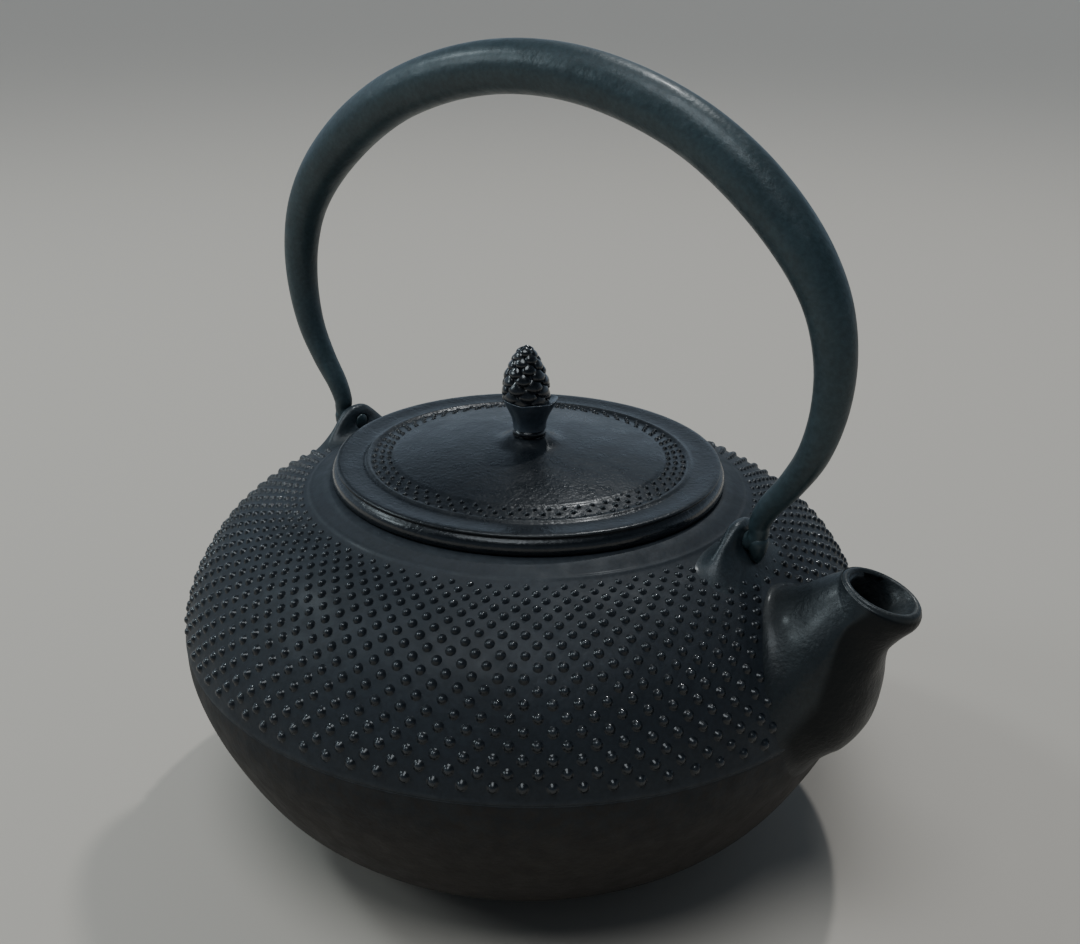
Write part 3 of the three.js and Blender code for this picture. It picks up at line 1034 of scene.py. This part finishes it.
# ---- knob ----
SEAT_Z = dome_z(0) + 1.4
KNOB_FOOT_Z = SEAT_Z + 1.7
KNOB_TOP_Z = 131
LEAN = np.array([-0.8, -0.6]) * 1.2
CUP_RINGS = [
    # radius, height over the foot, share of the petals' waves
    (3.6, 0.0, 0),
    (4.35, 0.0, 0),
    (4.4, 0.05, 0),
    (4.42, 0.9, 0),
    (4.55, 1.8, 0.03),
    (4.95, 3.2, 0.1),
    (5.75, 4.8, 0.35),
    (6.7, 6.4, 0.75),
    (7.2, 7.4, 1.0),
    (7.38, 7.9, 1.0),
    (7.2, 8.05, 0.95),
    (6.6, 7.7, 0.7),
    (5.6, 7.3, 0.3),
    (3.0, 7.2, 0),
]
PETALS = 5
PETAL_TURN = 0.64


def build_cup():
    """The stem and the flared cup, with blunt petals round its rim."""
    sides = 72
    rings = []
    for radius, z, lobe in catmull(CUP_RINGS, 3):
        ring = []
        for k in range(sides):
            angle = TAU * k / sides
            wave = abs(math.cos(PETALS / 2 * (angle - PETAL_TURN)))
            reach = radius * (1 - lobe * 0.1 * (1 - wave))
            height = KNOB_FOOT_Z + z + lobe * 0.7 * (wave - 0.6)
            ring.append((reach * math.cos(angle), reach * math.sin(angle), height))
        rings.append(ring)
    verts = np.array(rings).reshape(-1, 3)
    faces = grid_faces(len(rings), sides)
    last = (len(rings) - 1) * sides
    faces.append(tuple(last + k for k in range(sides)))
    faces.append(tuple(range(sides))[::-1])
    return make("knob_cup", verts, faces, CUP_IRON_PAINTED_LIGHT)


CONE = [
    # height as a share, radius
    (0.0, 5.2),
    (0.12, 5.9),
    (0.3, 6.1),
    (0.48, 5.7),
    (0.64, 4.85),
    (0.78, 3.8),
    (0.89, 2.75),
    (0.96, 1.8),
    (1.0, 0.9),
]


CONE_LOW = KNOB_FOOT_Z + 6.6
CONE_HIGH = KNOB_TOP_Z - 0.25
SCALES = 46
SCALE_SIDES = 14
GOLDEN_ANGLE = 2.39996
SCALE_DOME = [(0.4, 0.66), (0.72, 0.5), (0.95, 0.2), (1.08, -0.25)]


def cone_scale(i, shares, radii):
    """Points of one scale of the cone: its crown, then rings down into the core."""
    t = (i + 0.35) / SCALES
    share = 0.03 + 0.93 * t
    z = CONE_LOW + (CONE_HIGH - CONE_LOW) * share
    radius = float(np.interp(share, shares, radii))
    rise = float(np.interp(share + 0.04, shares, radii) - np.interp(share - 0.04, shares, radii))
    slope = rise / (0.08 * (CONE_HIGH - CONE_LOW))
    angle = i * GOLDEN_ANGLE + 0.3
    size = 2.55 * (1 - 0.42 * t) * (1 + 0.12 * (hash01(i, 7) - 0.5))
    out, up = np.array([math.cos(angle), math.sin(angle), 0.0]), np.array([0.0, 0.0, 1.0])
    lift = up + out * (slope - 0.35)
    lift /= np.linalg.norm(lift)
    across = np.cross(up, out)
    face_out = np.cross(across, lift)
    if face_out @ out < 0:
        face_out = -face_out
    centre = out * (radius + 0.12) + up * (z - 0.2)
    points = [centre + face_out * (0.36 * size)]
    for part, height in SCALE_DOME:
        for k in range(SCALE_SIDES):
            a = TAU * k / SCALE_SIDES
            px, py = math.cos(a), math.sin(a)
            py *= 1.12 if py > 0 else 0.82
            px *= 1 - 0.28 * max(py, 0)
            flat = across * (px * part * size) + lift * (py * part * size)
            points.append(centre + flat + face_out * (height * size * 0.5))
    return points


def build_cone():
    """A pine cone: an egg-shaped core under spiralling, overlapping scales, leaning a little in its cup."""
    profile = catmull(CONE, 4)
    shares, radii = profile[:, 0], profile[:, 1] - 0.75
    core = [(0.0, CONE_LOW)]
    for share, radius in zip(shares, radii):
        core.append((max(radius, 0.2), CONE_LOW + (CONE_HIGH - 0.5 - CONE_LOW) * share))
    core.append((0.0, CONE_HIGH - 0.45))
    verts, faces = lathe(core, 36)
    verts, faces = list(verts), list(faces)
    for i in range(SCALES):
        start = len(verts)
        verts += cone_scale(i, shares, radii)
        for k in range(SCALE_SIDES):
            faces.append((start, start + 1 + k, start + 1 + (k + 1) % SCALE_SIDES))
        faces += grid_faces(len(SCALE_DOME), SCALE_SIDES, start + 1, flip=True)
    verts = np.array(verts, float)
    share = np.clip((verts[:, 2] - CONE_LOW) / (CONE_HIGH - CONE_LOW), 0, 1)
    verts[:, 0] += LEAN[0] * (0.8 + 0.3 * share)
    verts[:, 1] += LEAN[1] * (0.8 + 0.3 * share)
    verts[:, 2] = np.minimum(verts[:, 2], KNOB_TOP_Z)
    return make("knob_cone", verts, faces, KNOB_IRON)


def build_seat_ring():
    low, high = SEAT_Z + 0.05, SEAT_Z + 1.4
    outline = [(2.0, low), (4.4, low), (4.4, high), (2.0, high), (2.0, low)]
    verts, faces = lathe(outline, 64)
    return make("seat_ring", verts, faces, KNOB_IRON)


# ---- put it together ----
shell = build_shell()
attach(shell, "vessel")
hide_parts("kettle_body")
for label, places in zip(("dots_lower", "dots_upper"), body_dots()):
    piece = dots(label, places, DOT_IRON)
    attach(piece, "vessel")
spout = build_spout()
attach(spout, "vessel")
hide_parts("spout")
for label, turn, node in (("front_lug", False, "front_ear"), ("rear_lug", True, "rear_ear")):
    ear = build_ear(label, turn)
    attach(ear, "vessel")
    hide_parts(node)
handle = build_handle()
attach(handle, "handle")
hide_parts("handle")
lid = build_lid()
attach(lid, "lid")
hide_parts("lid")
piece = dots("lid_dots", lid_dots(), LID_IRON)
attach(piece, "lid")
cup = build_cup()
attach(cup, "knob")
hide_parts("knob")
cone = build_cone()
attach(cone, "knob")
ring = build_seat_ring()
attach(ring, "lid")
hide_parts("seat_washer")
for node in ("knob_rivet", "under_washer"):
    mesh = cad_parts[node].data
    mesh.materials.clear()
    mesh.materials.append(STEEL)


# ---- floor, room, lights and camera ----
# angles in radians, the distance and the height in millimetres
CAMERA_HEADING = 0.64761
CAMERA_PITCH = 0.38993
CAMERA_ROLL = -0.020693
CAMERA_PAN = 0.009272
CAMERA_DISTANCE = 326.457
CAMERA_HEIGHT = 229.663
CAMERA_LENS = 44
CAMERA_SENSOR = 36
FLOOR_HALF = 40  # metres
FLOOR_Z = -0.0002
COOL_WHITE = (0.82, 0.95, 1.0)


def turned(vector):
    """From the camera's own heading to the row frame."""
    c, s = math.cos(CAMERA_HEADING), math.sin(CAMERA_HEADING)
    x, y, z = vector
    return Vector((x * c - y * s, x * s + y * c, z))


def build_floor():
    material = bpy.data.materials.new("floor_pale")
    material.use_nodes = True
    bsdf = material.node_tree.nodes["Principled BSDF"]
    bsdf.inputs["Base Color"].default_value = (0.60, 0.54, 0.47, 1)
    bsdf.inputs["Roughness"].default_value = 0.75
    mesh = bpy.data.meshes.new("floor")
    corners = [(x * FLOOR_HALF, y * FLOOR_HALF, FLOOR_Z) for x, y in ((-1, -1), (1, -1), (1, 1), (-1, 1))]
    mesh.from_pydata(corners, [], [(0, 1, 2, 3)])
    return link("floor", mesh, material, smooth=False)


def sky_ramp(tree, direction, axis, low, high, to_low, to_high):
    """A soft step of the room's brightness along a direction."""
    dot = tree.nodes.new("ShaderNodeVectorMath")
    dot.operation = "DOT_PRODUCT"
    dot.inputs[1].default_value = axis
    tree.links.new(direction.outputs["Generated"], dot.inputs[0])
    step = tree.nodes.new("ShaderNodeMapRange")
    step.interpolation_type = "SMOOTHSTEP"
    for key, value in (("From Min", low), ("From Max", high), ("To Min", to_low), ("To Max", to_high)):
        step.inputs[key].default_value = value
    tree.links.new(dot.outputs["Value"], step.inputs["Value"])
    return step.outputs["Result"]


def build_room():
    """A bluish room, brighter on the side beyond the kettle and darker overhead."""
    world = bpy.data.worlds.new("studio")
    bpy.context.scene.world = world
    world.use_nodes = True
    tree = world.node_tree
    background = tree.nodes["Background"]
    background.inputs["Color"].default_value = (0.66, 0.82, 1.0, 1)
    direction = tree.nodes.new("ShaderNodeTexCoord")
    back = (-math.sin(CAMERA_HEADING) * 0.94, math.cos(CAMERA_HEADING) * 0.94, 0.34)
    beyond = sky_ramp(tree, direction, back, -0.35, 0.75, 0.17, 0.6)
    overhead = sky_ramp(tree, direction, (0, 0, 1), 0.22, 0.62, 1.0, 0.2)
    tree.links.new(add_math(tree, "MULTIPLY", beyond, overhead), background.inputs["Strength"])


def area_light(name, place, size, power, colour):
    """A round lamp aimed at the kettle. Its place is seen from the camera: x to the right, y away from it."""
    data = bpy.data.lights.new(name, "AREA")
    data.shape = "DISK"
    data.size = size
    data.energy = power
    data.color = colour
    lamp = bpy.data.objects.new(name, data)
    bpy.context.scene.collection.objects.link(lamp)
    lamp.location = turned(place)
    aim = Vector((0, 0, 0.08)) - lamp.location
    lamp.rotation_euler = aim.to_track_quat("-Z", "Y").to_euler()


def sky_light(name, place, strength, spread, colour):
    """A wide soft light at a great distance, so that the whole floor gets the same."""
    data = bpy.data.lights.new(name, "SUN")
    data.energy = strength
    data.angle = spread
    data.color = colour
    lamp = bpy.data.objects.new(name, data)
    bpy.context.scene.collection.objects.link(lamp)
    lamp.rotation_euler = (-turned(place)).to_track_quat("-Z", "Y").to_euler()


def build_camera():
    data = bpy.data.cameras.new("camera")
    data.sensor_fit = "HORIZONTAL"
    data.sensor_width = CAMERA_SENSOR
    data.lens = CAMERA_LENS
    data.clip_start = 0.01
    camera = bpy.data.objects.new("camera", data)
    bpy.context.scene.collection.objects.link(camera)
    sp, cp = math.sin(CAMERA_PITCH), math.cos(CAMERA_PITCH)
    sn, cn = math.sin(CAMERA_PAN), math.cos(CAMERA_PAN)
    right = Vector((cn, -sn, 0))
    forward = Vector((sn * cp, cn * cp, -sp))
    up = Vector((sn * sp, cn * sp, cp))
    cr, sr = math.cos(CAMERA_ROLL), math.sin(CAMERA_ROLL)
    right, up = right * cr - up * sr, right * sr + up * cr
    right, up, forward = turned(right), turned(up), turned(forward)
    place = turned((0, -CAMERA_DISTANCE * MM, CAMERA_HEIGHT * MM))
    camera.matrix_world = Matrix(
        (
            (right.x, up.x, -forward.x, place.x),
            (right.y, up.y, -forward.y, place.y),
            (right.z, up.z, -forward.z, place.z),
            (0, 0, 0, 1),
        )
    )
    bpy.context.scene.camera = camera


build_floor()
build_room()
area_light("lamp", (0.3, 0.75, 1.4), 0.06, 5.5, (0.96, 0.99, 1.0))
area_light("window_high", (-0.98, 0.34, 0.98), 0.2, 2.6, COOL_WHITE)
area_light("window_low", (-1.28, -0.08, 0.78), 0.4, 2.6, COOL_WHITE)
sky_light("ceiling", (-0.3, -0.5, 1.9), 1.2, 0.55, (0.88, 0.95, 1.0))
build_camera()
